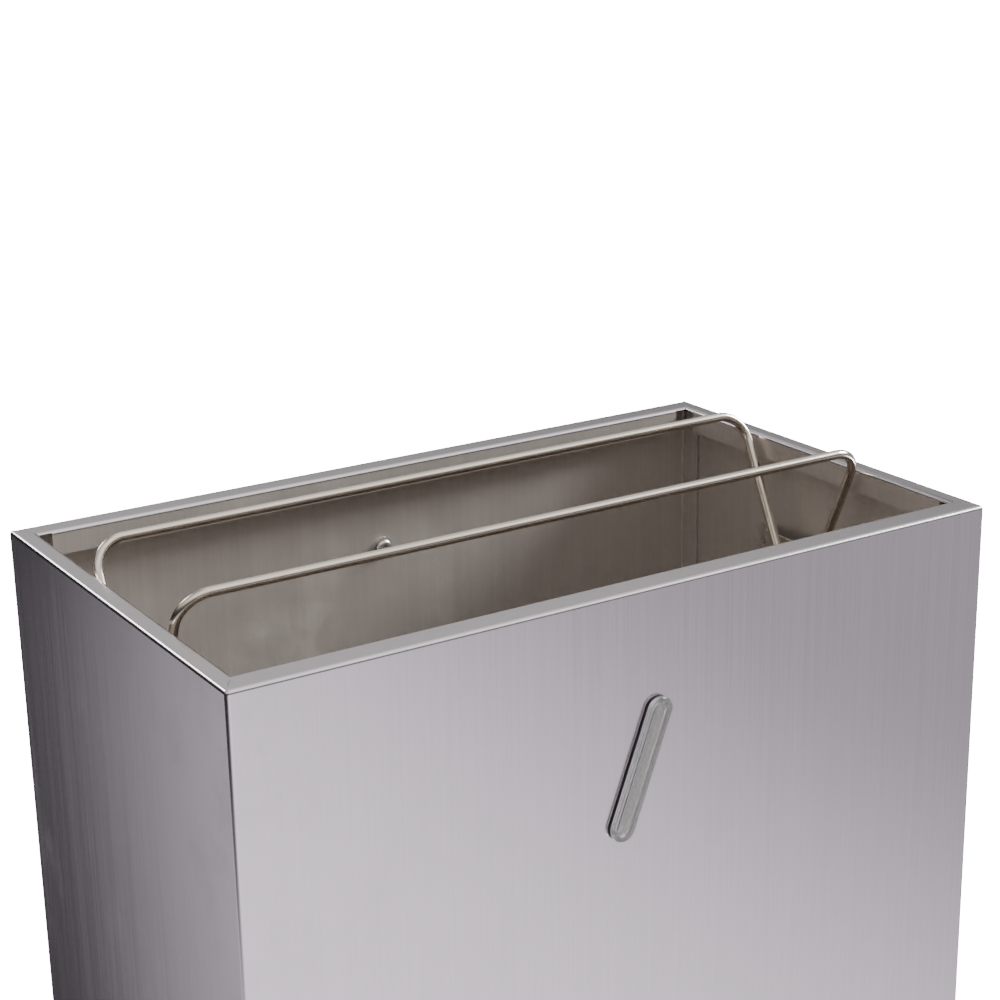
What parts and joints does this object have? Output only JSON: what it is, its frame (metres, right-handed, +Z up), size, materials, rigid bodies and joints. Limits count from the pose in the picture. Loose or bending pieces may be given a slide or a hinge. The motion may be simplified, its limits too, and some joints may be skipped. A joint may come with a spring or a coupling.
{
  "type": "open-top waste bin",
  "caption": "Open-topped rectangular stainless bin with folded rim, sight lens, rubber feet and hinged wires that hold a bag open.",
  "frame": {"origin": "on the floor, under the middle of the object's bounding box", "axes": "+Z up, front with the sight lens towards -Y, +X to the right seen from the front"},
  "size_m": [0.42, 0.258, 0.6155],
  "materials": {
    "outer_steel": "satin stainless, vertical grain",
    "inner_steel": "mill-finish stainless",
    "wire_steel": "bright drawn stainless wire",
    "fastener_steel": "passivated stainless",
    "clear_lens": "clear moulded polycarbonate",
    "gasket_foam": "closed-cell foam",
    "retainer_plastic": "moulded nylon",
    "foot_rubber": "moulded rubber"
  },
  "bodies": {
    "casing": {"body_wrap": "outer_steel", "back_panel": "inner_steel", "bottom_pan": "inner_steel", "sight_lens": "clear_lens", "lens_gasket": "gasket_foam", "lens_retainer": "retainer_plastic", "wire_bracket_left": "inner_steel", "wire_bracket_right": "inner_steel", "back_screw": "fastener_steel", "back_washer": "fastener_steel", "back_nut": "fastener_steel", "foot_front_left": "foot_rubber", "foot_front_right": "foot_rubber", "foot_back_left": "foot_rubber", "foot_back_right": "foot_rubber", "foot_washer_front_left": "fastener_steel", "foot_washer_front_right": "fastener_steel", "foot_washer_back_left": "fastener_steel", "foot_washer_back_right": "fastener_steel", "foot_screw_front_left": "fastener_steel", "foot_screw_front_right": "fastener_steel", "foot_screw_back_left": "fastener_steel", "foot_screw_back_right": "fastener_steel", "foot_nut_front_left": "fastener_steel", "foot_nut_front_right": "fastener_steel", "foot_nut_back_left": "fastener_steel", "foot_nut_back_right": "fastener_steel"},
    "front_wire": {"bag_wire_front": "wire_steel"},
    "back_wire": {"bag_wire_back": "wire_steel"}
  },
  "joints": [
    {"name": "front_wire_pivot", "type": "hinge", "parent": "casing", "child": "front_wire", "pos_m": [0, -0.008, 0.521], "axis": [-1, 0, 0], "range_deg": [0, 25]},
    {"name": "back_wire_pivot", "type": "hinge", "parent": "casing", "child": "back_wire", "pos_m": [0, 0.008, 0.521], "axis": [1, 0, 0], "range_deg": [0, 28]}
  ]
}
